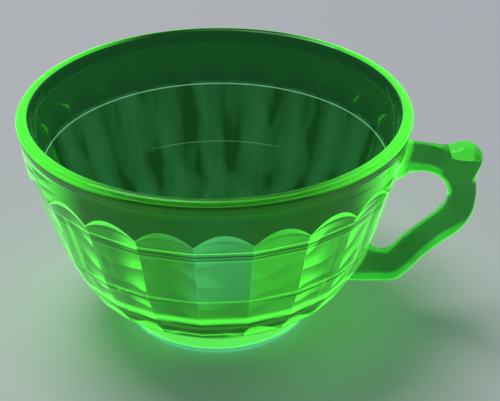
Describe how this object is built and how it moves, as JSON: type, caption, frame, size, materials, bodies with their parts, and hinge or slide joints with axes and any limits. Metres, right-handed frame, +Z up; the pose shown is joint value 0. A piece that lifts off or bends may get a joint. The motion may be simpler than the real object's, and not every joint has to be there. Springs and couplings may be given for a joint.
{
  "type": "handled tea cup",
  "caption": "Low footed tea cup in pressed green glass with a flat-panelled bowl, plain band, rounded rim and an angular handle with a thumb rest.",
  "frame": {"origin": "centre of the foot ring's resting face, on the axis of the bowl", "axes": "+Z up along the axis of the bowl, towards the lip; +X along the handle, away from the bowl"},
  "size_m": [0.1123, 0.095, 0.0572],
  "materials": {
    "bowl_glass": "fire-polished pressed glass, glowing green under ultraviolet light",
    "rim_glass": "fire-polished pressed glass, brightest where it is seen edge on",
    "foot_glass": "pressed glass, thick and bright, with a smooth ground resting face",
    "handle_glass": "fire-polished pressed glass"
  },
  "bodies": {
    "root": {"bowl": "bowl_glass", "rim": "rim_glass", "foot_ring": "foot_glass", "handle": "handle_glass", "thumb_rest": "handle_glass"}
  },
  "joints": []
}
